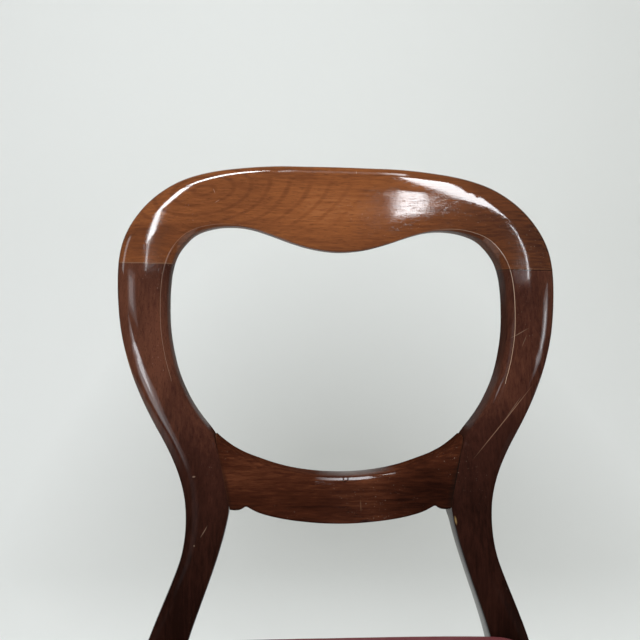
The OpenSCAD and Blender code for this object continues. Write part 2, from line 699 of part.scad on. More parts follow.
// Cover: over the crown, down the sides of the frame and turned under it
module seat_cover() {
    outer = crown_loops(seat_gap, pad_low_z + cover_t, crown_h + soft_gap);
    inner = crown_loops(frame_in, pad_low_z + soft_gap, crown_h);
    color("#7c6a3f") through_rings(concat(
        backward(outer),
        [loop_at(seat_gap, 1, frame_low_z - cover_t), loop_at(frame_in + lip_w, 1, frame_low_z - cover_t),
            loop_at(frame_in + lip_w, 1, frame_low_z), loop_at(frame_in, 1, frame_low_z)],
        inner
    ));
}

// Dust cover under the frame, inside the ledge, and the tacks that hold it and the cover
dust_top_z = frame_low_z - cover_t - soft_gap / 2;
module bottom_cloth() {
    color("#262322") translate([0, 0, dust_top_z - cloth_t]) linear_extrude(cloth_t)
        difference() {
            polygon(seat_corners(ledge_w + seat_gap * 2));
            mirrored() translate([head_in_x - seat_gap, legs_front_y - centre_y])
                square([head_w, head_w + seat_gap]);
        }
}
function tack_line(a, b) =
    let(n = max(floor(norm(b - a) / tack_pitch), 1)) [for (i = [0:n - 1]) mix(a, b, (i + 0.5) / n)];
module cover_tacks() {
    c = seat_corners(ledge_w + seat_gap * 2 + tack_d);
    color("#4c5058") for (i = [0:3], p = tack_line(c[i], c[(i + 1) % 4]))
        tack(p[0], p[1], dust_top_z - cloth_t, -1);
}

crest_rail();
left_back_post();
right_back_post();
cross_rail();
crest_dowels();
back_seat_rail();
left_side_rail();
right_side_rail();
front_seat_rail();
left_front_leg();
right_front_leg();
left_front_block();
right_front_block();
left_back_block();
right_back_block();
block_screws();
seat_frame_front();
seat_frame_back();
seat_frame_left();
seat_frame_right();
webbing_long();
webbing_cross();
webbing_tacks();
hessian();
seat_pad();
seat_cover();
bottom_cloth();
cover_tacks();
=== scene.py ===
import json
import math

import bpy
from mathutils import Matrix, Vector

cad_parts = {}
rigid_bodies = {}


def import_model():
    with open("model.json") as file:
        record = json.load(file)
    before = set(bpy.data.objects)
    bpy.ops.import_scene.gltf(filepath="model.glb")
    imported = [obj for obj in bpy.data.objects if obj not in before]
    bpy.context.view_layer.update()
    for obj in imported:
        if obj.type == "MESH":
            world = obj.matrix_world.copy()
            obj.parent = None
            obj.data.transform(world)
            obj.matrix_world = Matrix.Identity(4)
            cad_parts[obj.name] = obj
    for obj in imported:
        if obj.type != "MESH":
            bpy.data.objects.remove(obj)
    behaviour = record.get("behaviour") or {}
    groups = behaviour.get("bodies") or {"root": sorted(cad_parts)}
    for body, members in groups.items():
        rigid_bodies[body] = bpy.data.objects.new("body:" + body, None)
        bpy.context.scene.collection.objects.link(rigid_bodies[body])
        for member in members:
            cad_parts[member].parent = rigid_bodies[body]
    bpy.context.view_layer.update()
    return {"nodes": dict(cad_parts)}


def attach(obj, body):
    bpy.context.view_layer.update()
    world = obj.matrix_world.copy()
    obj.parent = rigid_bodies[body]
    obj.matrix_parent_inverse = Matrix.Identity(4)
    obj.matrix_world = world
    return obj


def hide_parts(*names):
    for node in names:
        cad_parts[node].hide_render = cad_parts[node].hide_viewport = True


bpy.ops.object.select_all(action="SELECT")
bpy.ops.object.delete()
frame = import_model()


# Back posts: two lengths of mahogany, each carved in one piece from the foot to the crest joint.
# They are stained dark and French polished, and the edges that hands reach show pale wear; the pale line along the
# inner arris is partly a painted highlight.
# Each is dowelled to the crest and takes the tenons of the cross rail and of the seat rails.
def choose(piece):
    bpy.ops.object.select_all(action="DESELECT")
    piece.select_set(True)
    bpy.context.view_layer.objects.active = piece


def start_edit(piece, selected=True):
    choose(piece)
    bpy.ops.object.mode_set(mode="EDIT")
    bpy.ops.mesh.select_all(action="SELECT" if selected else "DESELECT")


def end_edit():
    bpy.ops.object.mode_set(mode="OBJECT")


def apply_modifiers(piece):
    choose(piece)
    for modifier in list(piece.modifiers):
        bpy.ops.object.modifier_apply(modifier=modifier.name)


def merged_copy(node, name):
    piece = bpy.data.objects.new(name, frame["nodes"][node].data.copy())
    bpy.context.scene.collection.objects.link(piece)
    piece.data.materials.clear()
    start_edit(piece)
    bpy.ops.mesh.customdata_custom_splitnormals_clear()
    bpy.ops.mesh.remove_doubles(threshold=0.00001)
    bpy.ops.mesh.tris_convert_to_quads(face_threshold=math.radians(40), shape_threshold=math.radians(50))
    end_edit()
    return piece


def dress(piece, body, finish, slot, *nodes):
    piece.data.materials.clear()
    piece.data.materials.append(finish)
    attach(piece, body)
    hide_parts(*nodes)


def subdivided(piece, levels):
    rounding = piece.modifiers.new("rounding", "SUBSURF")
    rounding.levels = rounding.render_levels = levels
    apply_modifiers(piece)


opening_middle = Vector((0, 0, 0.68))  # of the balloon


def carved(node, name, seam_angle=60, arris_angle=24):
    piece = merged_copy(node, name)
    sides = {}
    for face in piece.data.polygons:
        for key in face.edge_keys:
            sides.setdefault(key, []).append(face.normal)
    piece.data.attributes.new("crease_edge", "FLOAT", "EDGE")
    piece.data.attributes.new("arris_wear_and_highlight", "FLOAT", "POINT")
    crease, arris = (piece.data.attributes[layer].data for layer in ("crease_edge", "arris_wear_and_highlight"))
    for edge in piece.data.edges:
        first, second = sides[edge.key]
        turn = math.degrees(first.angle(second, 0))
        on_front = first.y < -0.3 and second.y < -0.3
        outward = piece.data.vertices[edge.vertices[0]].co - opening_middle
        outer_side = (first.x + second.x) * outward.x + (first.z + second.z) * outward.z > 0
        crisp = 0.15 if outer_side else 0.92
        crease[edge.index].value = 1 if turn > seam_angle else crisp if turn > arris_angle and on_front else 0
        # Vertices of the inner arris carry a pale line that is partly wear and partly painted highlight.
        if arris_angle < turn < seam_angle and on_front and not outer_side:
            for corner in edge.vertices:
                arris[corner].value = 1
    subdivided(piece, 2)
    bpy.ops.object.shade_smooth_by_angle(angle=math.radians(30))
    return piece


def feed(finish, node, inputs):
    for socket, value in inputs.items():
        if isinstance(value, bpy.types.NodeSocket):
            finish.node_tree.links.new(value, node.inputs[socket])
        else:
            node.inputs[socket].default_value = value


def put(finish, kind, inputs, **settings):
    node = finish.node_tree.nodes.new("ShaderNode" + kind)
    for key, value in settings.items():
        setattr(node, key, value)
    feed(finish, node, inputs)
    return node


def new_finish(name):
    finish = bpy.data.materials.new(name)
    finish.use_nodes = True
    return finish, put(finish, "TexCoord", {}).outputs["Object"]


def surface(finish, inputs):
    feed(finish, finish.node_tree.nodes["Principled BSDF"], inputs)


def sums(finish, operation, *values):
    return put(finish, "Math", dict(enumerate(values)), operation=operation, use_clamp=True).outputs[0]


def stretched(finish, place, scale, **inputs):
    spread = put(finish, "Mapping", {"Vector": place, "Scale": scale}).outputs[0]
    return put(finish, "TexNoise", {"Vector": spread, "Scale": 1, **inputs}).outputs[0]


def grain_along(finish, place, axis):
    turn = {"x": (0, 0, 0), "y": (0, 0, math.pi / 2), "z": (0, math.pi / 2, 0)}[axis]
    return put(finish, "Mapping", {"Vector": place, "Rotation": turn}).outputs[0]


def bumped(finish, height, strength, distance, **below):
    return put(finish, "Bump", {"Height": height, "Strength": strength, "Distance": distance, **below}).outputs[0]


def eased(finish, value, low, high, bottom=0, top=1):
    return put(finish, "MapRange", {"Value": value, "From Min": low, "From Max": high,
                                    "To Min": bottom, "To Max": top}).outputs[0]


def colours(finish, factor, stops):
    ramp = put(finish, "ValToRGB", {"Fac": factor})
    steps = ramp.color_ramp.elements
    for step, (share, colour) in ((steps[0], stops[0]), (steps[-1], stops[-1])):
        step.position, step.color = share, (*colour, 1)
    for share, colour in stops[1:-1]:
        steps.new(share).color = (*colour, 1)
    return ramp.outputs["Color"]


def over(finish, factor, below, above):
    return put(finish, "Mix", {0: factor, 6: below, 7: above}, data_type="RGBA").outputs[2]


def spot(finish, place, x, z, length, width, turn=0, soft=1):
    ahead = put(finish, "Mapping", {"Vector": place, "Location": (x, 0, z), "Rotation": (0, -math.radians(turn), 0),
                                    "Scale": (length / 2, 1000, width / 2)}, vector_type="TEXTURE").outputs[0]
    away = put(finish, "VectorMath", {0: ahead}, operation="LENGTH").outputs["Value"]
    return eased(finish, away, 1, 1 - soft)


black, darker_side_tone = (0.006, 0.004, 0.003), (0.012, 0.006, 0.004)
rubbed, pale_wear_and_highlight, dusty = (0.22, 0.1, 0.05), (0.55, 0.38, 0.26), (0.45, 0.33, 0.26)
metre_wave = 0.314  # the wave texture's scale for lines one metre apart


def polished_mahogany(name, tones, along, figure=None, tone_and_highlight_zones=(), marks_and_shadows=(), planed_edges=False, gloss=0.85, dulled=(),
                      wear_and_highlight=(), side_darkening=0.22, low_sides=0.2):
    finish, place = new_finish(name)
    grain = grain_along(finish, place, along)
    cloud = stretched(finish, grain, (7, 24, 24), Detail=4, Distortion=0.6)
    streak = stretched(finish, grain, (16, 330, 330), Detail=5, Roughness=0.65)
    fleck = stretched(finish, grain, (60, 460, 460), Detail=5, Roughness=0.6)
    depth = sums(finish, "MULTIPLY", cloud, 0.46)
    depth = sums(finish, "MULTIPLY_ADD", streak, 0.26, depth)
    depth = eased(finish, sums(finish, "MULTIPLY_ADD", fleck, 0.28, depth), 0.13, 0.87)
    for x, z, length, width, lean, gain in tone_and_highlight_zones:
        depth = sums(finish, "MULTIPLY_ADD", spot(finish, place, x, z, length, width, lean), gain, depth)
    if figure:
        middle, spacing, bend = figure
        centred = put(finish, "Mapping", {"Vector": place, "Location": middle, "Scale": (2.1, 1, 1),
                                          "Rotation": (0, math.radians(-12), 0)}, vector_type="TEXTURE").outputs[0]
        rings = put(finish, "TexWave", {"Vector": centred, "Scale": metre_wave / spacing, "Distortion": bend,
                                        "Detail": 2, "Detail Scale": 0.35},
                    wave_type="RINGS", rings_direction="Y").outputs[0]
        ring_lines = sums(finish, "MULTIPLY", eased(finish, rings, 0.72, 1), eased(finish, cloud, 0.35, 0.6))
        ring_lines = sums(finish, "MULTIPLY", ring_lines, spot(finish, place, middle[0] + 0.035, middle[2], 0.28, 0.2))
        depth = sums(finish, "SUBTRACT", depth, sums(finish, "MULTIPLY", ring_lines, 0.28))
    colour = colours(finish, depth, tones)
    pore = eased(finish, stretched(finish, grain, (130, 1500, 1500), Detail=2), 0.56, 0.68)
    colour = over(finish, sums(finish, "MULTIPLY", pore, 0.42), colour, (*tones[0][1], 1))
    geometry = put(finish, "NewGeometry", {})
    normal = put(finish, "SeparateXYZ", {0: geometry.outputs["Normal"]})
    facing = normal.outputs["Y"]
    edge = eased(finish, geometry.outputs["Pointiness"], 0.53, 0.6)
    if planed_edges:
        edge = put(finish, "Attribute", {}, attribute_name="rubbed_edge").outputs["Fac"]
    rub = sums(finish, "MULTIPLY", edge, eased(finish, stretched(finish, place, (40, 40, 40), Detail=3), 0.35, 0.65))
    colour = over(finish, sums(finish, "MULTIPLY", rub, 0.3), colour, (*rubbed, 1))
    arris = eased(finish, put(finish, "Attribute", {}, attribute_name="arris_wear_and_highlight").outputs["Fac"], 0.94, 1)
    # The pale line along the inner arris is partly wear and partly a painted highlight of the polish.
    for x, z, length, width, lean, share in wear_and_highlight:
        wear_and_highlight_spot = spot(finish, place, x, z, length, width, lean, 0.5)
        wear_and_highlight_mask = sums(finish, "MULTIPLY", arris, eased(finish, wear_and_highlight_spot, 0, 1, 0, share))
        colour = over(finish, wear_and_highlight_mask, colour, (*pale_wear_and_highlight, 1))
    dust = sums(finish, "MULTIPLY", eased(finish, stretched(finish, place, (700, 700, 700), Detail=2), 0.68, 0.76),
                eased(finish, stretched(finish, place, (16, 16, 16), Detail=2), 0.5, 0.62))
    colour = over(finish, sums(finish, "MULTIPLY", dust, 0.24), colour, (*dusty, 1))
    stray = stretched(finish, place, (60, 60, 60), Detail=2)
    wobble = put(finish, "VectorMath", {0: stray, 1: (0.0014,) * 3, 2: place}, operation="MULTIPLY_ADD").outputs[0]
    # Marks are scratches, nicks, joints and plug lines; on the cross rail two of them are painted shadow bands.
    for x, z, length, width, lean, strength, shade in marks_and_shadows:
        reach = sums(finish, "LESS_THAN", facing, 0.5 if shade == black else -0.15)
        mark = sums(finish, "MULTIPLY", spot(finish, wobble, x, z, length, width, lean, 0.6), reach)
        colour = over(finish, sums(finish, "MULTIPLY", mark, strength), colour, (*shade, 1))
    rough = eased(finish, stretched(finish, place, (26, 26, 26), Detail=5, Roughness=0.7), 0.3, 0.7, 0.1, 0.2)
    rough = sums(finish, "MULTIPLY_ADD", rub, 0.15, rough)
    rough = sums(finish, "MULTIPLY_ADD", eased(finish, facing, -0.75, 0.1), 0.3, rough)
    skin = bumped(finish, stretched(finish, place, (90, 90, 90), Detail=2), 0.025, 0.0003)
    skin = bumped(finish, streak, 0.05, 0.00015, Normal=skin)
    skin = bumped(finish, pore, 0.07, 0.00005, Normal=skin)
    # Faces that turn sideways, above the seat, are made darker.
    edgewise = eased(finish, put(finish, "Math", {0: facing}, operation="ABSOLUTE").outputs[0], 0.6, 0.15)
    above_seat = eased(finish, put(finish, "SeparateXYZ", {0: place}).outputs["Z"], 0.56, 0.6)
    side_darkening_mask = sums(finish, "MULTIPLY", sums(finish, "MULTIPLY", edgewise, above_seat), side_darkening)
    colour = over(finish, side_darkening_mask, colour, (*darker_side_tone, 1))
    below_seat = sums(finish, "MULTIPLY", edgewise, eased(finish, above_seat, 0, 1, low_sides, 0))
    level = sums(finish, "ADD", eased(finish, normal.outputs["Z"], 0.4, 0.9, 0, 0.35),
                 eased(finish, normal.outputs["Z"], -0.4, -0.9, 0, 0.12))
    polish = sums(finish, "ADD", eased(finish, facing, -0.7, -0.2, gloss, 0.17), level)
    for x, z, length, width, lean, share in dulled:
        matt = spot(finish, place, x, z, length, width, lean, 0.3)
        polish = sums(finish, "MULTIPLY", polish, eased(finish, matt, 0, 1, 1, share))
    polish = sums(finish, "ADD", polish, below_seat)
    surface(finish, {"Base Color": colour, "Roughness": rough, "Normal": skin, "Specular IOR Level": 0,
                     "Coat Weight": polish, "Coat Normal": skin, "Coat Roughness": 0.042})
    return finish


# In every list below a spot is x, z, length, width and lean in degrees, and then how much it changes:
# the depth of colour in zones, one of which is a painted highlight, the share of polish left in dulled,
# the pale share along the arris, which is wear and partly painted highlight, and the strength and colour of a mark.
post_tones = ((0.15, (0.0095, 0.0035, 0.0024)), (0.5, (0.031, 0.0103, 0.0067)), (0.85, (0.082, 0.029, 0.0165)))
# The first post zone lightens the top of the left post: a painted highlight.
post_tone_and_highlight_zones = ((-0.18, 0.71, 0.2, 0.4, 10, 0.3), (0.17, 0.66, 0.16, 0.3, -10, 0.1), (0, 0.43, 1, 0.5, 0, -0.42),
              (-0.14, 0.64, 0.05, 0.16, -35, 0.08), (0.13, 0.56, 0.08, 0.14, 0, -0.12))
tan, chalk = (0.16, 0.085, 0.05), (0.4, 0.27, 0.19)
post_marks = ((0.1486, 0.6425, 0.095, 0.0009, 48.8, 0.4, (0.37, 0.215, 0.14)),
              (0.158, 0.655, 0.03, 0.0006, 52, 0.25, chalk), (0.167, 0.722, 0.022, 0.001, 30, 0.2, chalk),
              (0.171, 0.715, 0.014, 0.0008, 65, 0.16, chalk), (-0.128, 0.595, 0.0034, 0.0018, 10, 0.3, chalk),
              (-0.118, 0.55, 0.012, 0.001, 60, 0.25, chalk), (-0.126, 0.5385, 0.0018, 0.0018, 0, 0.22, chalk),
              (0.1016, 0.5572, 0.0022, 0.009, 8, 0.4, (0.38, 0.25, 0.1)),
              (-0.1877, 0.6875, 0.06, 0.0018, -71.5, 0.75, (0.3, 0.17, 0.08)),
              (-0.18, 0.7816, 0.2, 0.0012, 0, 0.8, tan), (0.18, 0.7816, 0.2, 0.0014, 0, 0.8, black))
post_dulled = ((0, 0.5, 1.5, 0.29, 0, 0.04), (0.16, 0.62, 0.1, 0.12, 0, 0.3), (-0.114, 0.6215, 0.03, 0.03, 0, 0.05),
               (0.1133, 0.622, 0.03, 0.03, 0, 0.05), (0.163, 0.69, 0.036, 0.17, 0, 0.15))
# Pale lines along the inner arris of the posts: partly wear, partly painted highlight.
post_wear_and_highlight = ((0.168, 0.7, 0.12, 0.26, 0, 1), (-0.165, 0.7, 0.12, 0.26, 0, 0.3))
post_wood = polished_mahogany("post_mahogany", post_tones, "z", tone_and_highlight_zones=post_tone_and_highlight_zones, marks_and_shadows=post_marks,
                              dulled=post_dulled, wear_and_highlight=post_wear_and_highlight, low_sides=0.62)
for side in ("left", "right"):
    dress(carved(f"{side}_back_post", f"{side}_post"), "chair_frame", post_wood, "post_wood", f"{side}_back_post")

# Cross rail: a short curved rail of the same mahogany, carved with a lipped cusp at each end.
# Its rounded top carries the bevel of the posts across the bottom of the opening.
# A tenon at each end goes into a post, and an old plug shows on the top edge.
cross_tones = ((0.28, (0.011, 0.0033, 0.002)), (0.5, (0.036, 0.01, 0.0047)), (0.72, (0.092, 0.029, 0.0126)))
cross_zones = ((-0.07, 0.585, 0.1, 0.09, 0, 0.08), (0.09, 0.58, 0.12, 0.12, 0, -0.17))
# The two wide soft dark bands beside the joints are painted shadow, where the posts stand proud of the rail.
cross_marks_and_shadows = ((-0.1047, 0.5967, 0.066, 0.0018, -76.6, 0.85, black), (0.1047, 0.5967, 0.066, 0.0018, 76.6, 0.85, black),
               (0.0218, 0.556, 0.012, 0.004, 5, 0.7, black), (0.018, 0.569, 0.0015, 0.012, 0, 0.3, tan),
               (0.0024, 0.5903, 0.0015, 0.0026, 0, 0.8, black), (0.0064, 0.5903, 0.0015, 0.0026, 0, 0.8, black),
               (0.0044, 0.5891, 0.0045, 0.0012, 0, 0.8, black), (-0.1015, 0.585, 0.07, 0.009, -77, 0.45, black),
               (0.1015, 0.585, 0.07, 0.009, 77, 0.45, black))
cross_dulled = ((-0.086, 0.6, 0.18, 0.3, 0, 0), (0.113, 0.6, 0.18, 0.3, 0, 0), (0.0024, 0.5903, 0.0018, 0.0026, 0, 0.1),
                (0.0064, 0.5903, 0.0018, 0.0026, 0, 0.1), (0.0044, 0.5891, 0.0045, 0.0014, 0, 0.1))
cross_wood = polished_mahogany("cross_mahogany", cross_tones, "x", tone_and_highlight_zones=cross_zones, marks_and_shadows=cross_marks_and_shadows,
                               dulled=cross_dulled, side_darkening=0)
dress(carved("cross_rail", "cross_rail_carved"), "chair_frame", cross_wood, "cross_wood", "cross_rail")

# Crest rail: one wide board of figured mahogany, sawn to the curve and carved to a rounded shoulder.
# It is lighter and redder than the posts, with the rings of the tree showing as flat arches.
# Two dowels at each end pin it to the posts; they are plain beech and never show.
crest_tones = ((0.1, (0.028, 0.0108, 0.007)), (0.42, (0.113, 0.0365, 0.0135)), (0.62, (0.178, 0.059, 0.019)),
               (0.85, (0.265, 0.097, 0.035)))
crest_zones = ((-0.02, 0.84, 0.3, 0.12, 0, 0.12), (-0.01, 0.825, 0.16, 0.06, 0, 0.07),
               (-0.17, 0.795, 0.1, 0.1, 0, -0.14), (0.21, 0.81, 0.3, 0.22, 0, -0.4))
crest_marks = ((-0.18, 0.7812, 0.2, 0.0012, 0, 0.7, tan), (0.18, 0.7812, 0.2, 0.0012, 0, 0.8, black),
               (-0.118, 0.852, 0.0008, 0.006, 20, 0.4, chalk), (-0.115, 0.842, 0.006, 0.0007, 35, 0.35, chalk),
               (0.018, 0.8755, 0.0006, 0.004, 0, 0.6, chalk), (0.1025, 0.849, 0.007, 0.0008, 15, 0.6, chalk))
crest_dulled = ((0.026, 0.83, 0.06, 0.08, 0, 0.3), (-0.002, 0.87, 0.13, 0.024, 0, 0.1))
# Pale lines along the inner arris of the crest: partly wear, partly painted highlight.
crest_wear_and_highlight = ((0.15, 0.8, 0.14, 0.12, 0, 0.5), (-0.15, 0.8, 0.14, 0.1, 0, 0.2))
heart, ring_spacing, ring_bend = (-0.128, 0, 0.852), 0.009, 5
crest_wood = polished_mahogany("crest_mahogany", crest_tones, "x", tone_and_highlight_zones=crest_zones, marks_and_shadows=crest_marks,
                               figure=(heart, ring_spacing, ring_bend), dulled=crest_dulled, wear_and_highlight=crest_wear_and_highlight)
dress(carved("crest_rail", "crest"), "chair_frame", crest_wood, "crest_wood", "crest_rail")

# Crest dowels: four plain beech pins, two at each end of the crest.
# They are glued half in the crest and half in the posts, so they never show.
def raw_beech(name, along):
    finish, place = new_finish(name)
    grain = grain_along(finish, place, along)
    depth = sums(finish, "MULTIPLY", stretched(finish, grain, (6, 60, 60), Detail=4), 0.6)
    depth = sums(finish, "MULTIPLY_ADD", stretched(finish, grain, (20, 500, 500), Detail=4), 0.4, depth)
    colour = colours(finish, depth, ((0.3, (0.33, 0.19, 0.085)), (0.5, (0.5, 0.32, 0.16)), (0.7, (0.6, 0.42, 0.235))))
    fleck = eased(finish, stretched(finish, grain, (160, 1300, 1300), Detail=1), 0.6, 0.68)
    colour = over(finish, sums(finish, "MULTIPLY", fleck, 0.4), colour, (0.27, 0.13, 0.055, 1))
    grime = eased(finish, stretched(finish, place, (18, 18, 18), Detail=5), 0.48, 0.72)
    colour = over(finish, sums(finish, "MULTIPLY", grime, 0.45), colour, (0.2, 0.12, 0.06, 1))
    surface(finish, {"Base Color": colour, "Roughness": eased(finish, fleck, 0, 1, 0.62, 0.8),
                     "Normal": bumped(finish, depth, 0.4, 0.0002)})
    return finish


def refinish(node, finish):
    mesh = frame["nodes"][node].data
    mesh.materials.clear()
    mesh.materials.append(finish)


beech_upright = raw_beech("beech_upright", "z")
refinish("crest_dowels", beech_upright)

# Seat rails: four straight rails of polished mahogany, rebated inside for the drop-in seat.
# The front one is tenoned into the leg heads, the others into the legs and the back posts.
# Their long edges are eased with a plane and rubbed by hands and knees.
def planed(node, name, ease=0.0012):
    piece = merged_copy(node, name)
    start_edit(piece)
    bpy.ops.mesh.dissolve_limited(angle_limit=math.radians(1))
    end_edit()
    edge = piece.modifiers.new("eased_edges", "BEVEL")
    edge.width, edge.segments, edge.limit_method, edge.angle_limit = ease, 3, "ANGLE", math.radians(40)
    apply_modifiers(piece)
    layer = piece.data.attributes.new("rubbed_edge", "FLOAT", "FACE")
    for face in piece.data.polygons:
        sides = [piece.data.vertices[i].co for i in face.vertices]
        narrow = min((a - b).length for a, b in zip(sides, sides[1:] + sides[:1]))
        layer.data[face.index].value = 1 if narrow < ease * 0.6 else 0
    bpy.ops.object.shade_smooth_by_angle(angle=math.radians(35))
    return piece


rail_tones = ((0.15, (0.016, 0.0055, 0.0036)), (0.5, (0.05, 0.0155, 0.0085)), (0.85, (0.12, 0.04, 0.019)))
rail_marks = ((0.04, 0.4, 0.03, 0.001, 20, 0.3, chalk), (-0.12, 0.41, 0.012, 0.001, 70, 0.3, chalk))
rail_across = polished_mahogany("rail_mahogany_across", rail_tones, "x", marks_and_shadows=rail_marks, planed_edges=True, gloss=0.6)
rail_deep = polished_mahogany("rail_mahogany_deep", rail_tones, "y", planed_edges=True, gloss=0.6)
for node, finish in (("front_seat_rail", rail_across), ("back_seat_rail", rail_across),
                     ("left_side_rail", rail_deep), ("right_side_rail", rail_deep)):
    dress(planed(node, f"{node}_planed"), "chair_frame", finish, "seat_rail_wood", node)

# Front legs: turned on a lathe below a square head, from the same dark mahogany as the posts.
# The rings and hollows of the turning are crisp, and their small edges are rubbed.
leg_wood = polished_mahogany("leg_mahogany", post_tones, "z", planed_edges=True, gloss=0.6)
for side in ("left", "right"):
    dress(planed(f"{side}_front_leg", f"{side}_turned_leg", 0.0008), "chair_frame", leg_wood, "post_wood",
          f"{side}_front_leg")

# Corner blocks: rough beech blocks glued into the four corners under the ledge.
# Two countersunk steel screws hold each one, and none of this shows from outside.
for node in ("left_front_block", "right_front_block", "left_back_block", "right_back_block"):
    dress(planed(node, f"{node}_sawn", 0.0006), "chair_frame", beech_upright, "plain_wood", node)


def dull_steel(name, clean, tarnish, patch):
    finish, place = new_finish(name)
    spots = eased(finish, stretched(finish, place, (patch,) * 3, Detail=5), 0.42, 0.62)
    colour = colours(finish, spots, ((0, clean), (1, tarnish)))
    scratches = stretched(finish, place, (500, 3000, 500), Detail=2)
    rough = sums(finish, "ADD", eased(finish, spots, 0, 1, 0.3, 0.6), sums(finish, "MULTIPLY", scratches, 0.1))
    surface(finish, {"Base Color": colour, "Roughness": rough, "Normal": bumped(finish, spots, 0.3, 0.0001),
                     "Metallic": 1})
    return finish


refinish("block_screws", dull_steel("screw_steel", (0.42, 0.4, 0.37), (0.16, 0.085, 0.045), 260))

# Seat frame: four flat members of beech, the front and back ones tenoned between the sides.
# It is left raw and has gone grimy, because the cloth covers all of it.
beech_across, beech_deep = raw_beech("beech_across", "x"), raw_beech("beech_deep", "y")
for part, finish in (("front", beech_across), ("back", beech_across), ("left", beech_deep), ("right", beech_deep)):
    dress(planed(f"seat_frame_{part}", f"seat_member_{part}", 0.0005), "drop_in_seat", finish, "plain_wood",
          f"seat_frame_{part}")

# Webbing: three straps of jute webbing each way, woven over and under one another.
# Each is strained over the frame and fixed at both ends with blued steel tacks.
def woven(name, tones, pitch, rough, lift, stripe=None, fuzz=0, gaps=0.5):
    finish, place = new_finish(name)
    tilt = put(finish, "VectorMath", {0: place, 1: (1, 0, 0.7)}, operation="DOT_PRODUCT").outputs["Value"]
    rise = put(finish, "VectorMath", {0: place, 1: (0, 1, -0.7)}, operation="DOT_PRODUCT").outputs["Value"]
    cloth = put(finish, "CombineXYZ", {"X": tilt, "Y": rise}).outputs[0]
    threads = [put(finish, "TexWave", {"Vector": cloth, "Scale": metre_wave / pitch, "Distortion": 0.5, "Detail": 2,
                                       "Detail Scale": 0.6}, bands_direction=way).outputs[0] for way in "XY"]
    weave = sums(finish, "MULTIPLY", *threads)
    tone = sums(finish, "MULTIPLY", stretched(finish, place, (30, 30, 30), Detail=6), 0.6)
    tone = sums(finish, "MULTIPLY_ADD", stretched(finish, place, (900, 900, 900), Detail=2), 0.4, tone)
    colour = colours(finish, tone, tuple(zip((0.3, 0.5, 0.7), tones)))
    colour = over(finish, sums(finish, "MULTIPLY", eased(finish, weave, 0.3, 0), gaps), colour, (*tones[0], 1))
    if stripe:
        across, places, width, dye = stripe
        line = put(finish, "SeparateXYZ", {0: place}).outputs[across]
        for at in places:
            near = put(finish, "Math", {0: line, 1: at, 2: width}, operation="COMPARE").outputs[0]
            colour = over(finish, near, colour, (*dye, 1))
    surface(finish, {"Base Color": colour, "Normal": bumped(finish, weave, 0.6, lift),
                     "Roughness": eased(finish, weave, 0, 1, rough, rough - 0.12), "Specular IOR Level": 0.2,
                     "Sheen Weight": fuzz, "Sheen Roughness": 0.4, "Sheen Tint": (*tones[2], 1)})
    return finish


def give_wall(piece, thickness, offset=0, smooth=50):
    wall = piece.modifiers.new("thickness", "SOLIDIFY")
    wall.thickness, wall.offset = thickness, offset
    apply_modifiers(piece)
    bpy.ops.object.shade_smooth_by_angle(angle=math.radians(smooth))


jute_tones = ((0.34, 0.25, 0.13), (0.52, 0.41, 0.25), (0.66, 0.56, 0.38))
jute_weave = (0.0016, 0.85, 0.0004)  # pitch, roughness and lift of the threads
web_w, web_middle, web_rise, web_thickness, web_slope = 0.05, 0.4389, 0.0007, 0.0012, 0.052
line_inset, line_width, line_dye = 0.019, 0.0009, (0.3, 0.05, 0.035)
long_x, long_y, long_length = (-0.104, 0, 0.104), -0.0498, 0.352
cross_y, cross_half = (-0.1582, long_y, 0.0587), (0.1818, 0.1661, 0.1503)


def strap(name, middle, length, across, crossings, high_first):
    bpy.ops.object.select_all(action="DESELECT")
    bpy.ops.mesh.primitive_grid_add(x_subdivisions=6, y_subdivisions=90, size=1, location=(0, 0, 0))
    piece = bpy.context.object
    piece.name = name
    piece.scale = (web_w, length, 1)
    piece.rotation_euler = (0, 0, math.pi / 2 if across else 0)
    bpy.ops.object.transform_apply(location=True, rotation=True, scale=True)
    piece.location = middle
    bpy.ops.object.transform_apply(location=True, rotation=True, scale=True)
    for vertex in piece.data.vertices:
        along = vertex.co.x if across else vertex.co.y
        height = 1 if across else -1
        for number, crossing in enumerate(crossings):
            over_it = 1 if (number % 2 == 0) == high_first else -1
            nearness = max(0, 1 - abs(along - crossing) / web_slope)
            nearness = nearness * nearness * (3 - 2 * nearness)
            height = height * (1 - nearness) + over_it * nearness
        vertex.co.z = web_middle + web_rise * height
    give_wall(piece, web_thickness, smooth=40)
    return piece


for number, x in enumerate(long_x):
    piece = strap(f"web_long_{number + 1}", (x, long_y, 0), long_length, False, cross_y, number % 2 == 0)
    lines = ("X", (x - line_inset, x + line_inset), line_width, line_dye)
    dress(piece, "drop_in_seat", woven(f"long_webbing_{number + 1}", jute_tones, *jute_weave, lines), "webbing",
          "webbing_long")
for number, (y, half) in enumerate(zip(cross_y, cross_half)):
    piece = strap(f"web_cross_{number + 1}", (0, y, 0), half * 2, True, long_x, number % 2 == 1)
    lines = ("Y", (y - line_inset, y + line_inset), line_width, line_dye)
    dress(piece, "drop_in_seat", woven(f"cross_webbing_{number + 1}", jute_tones, *jute_weave, lines), "webbing",
          "webbing_cross")
blued = dull_steel("blued_tacks", (0.06, 0.065, 0.08), (0.11, 0.06, 0.035), 320)
refinish("webbing_tacks", blued)

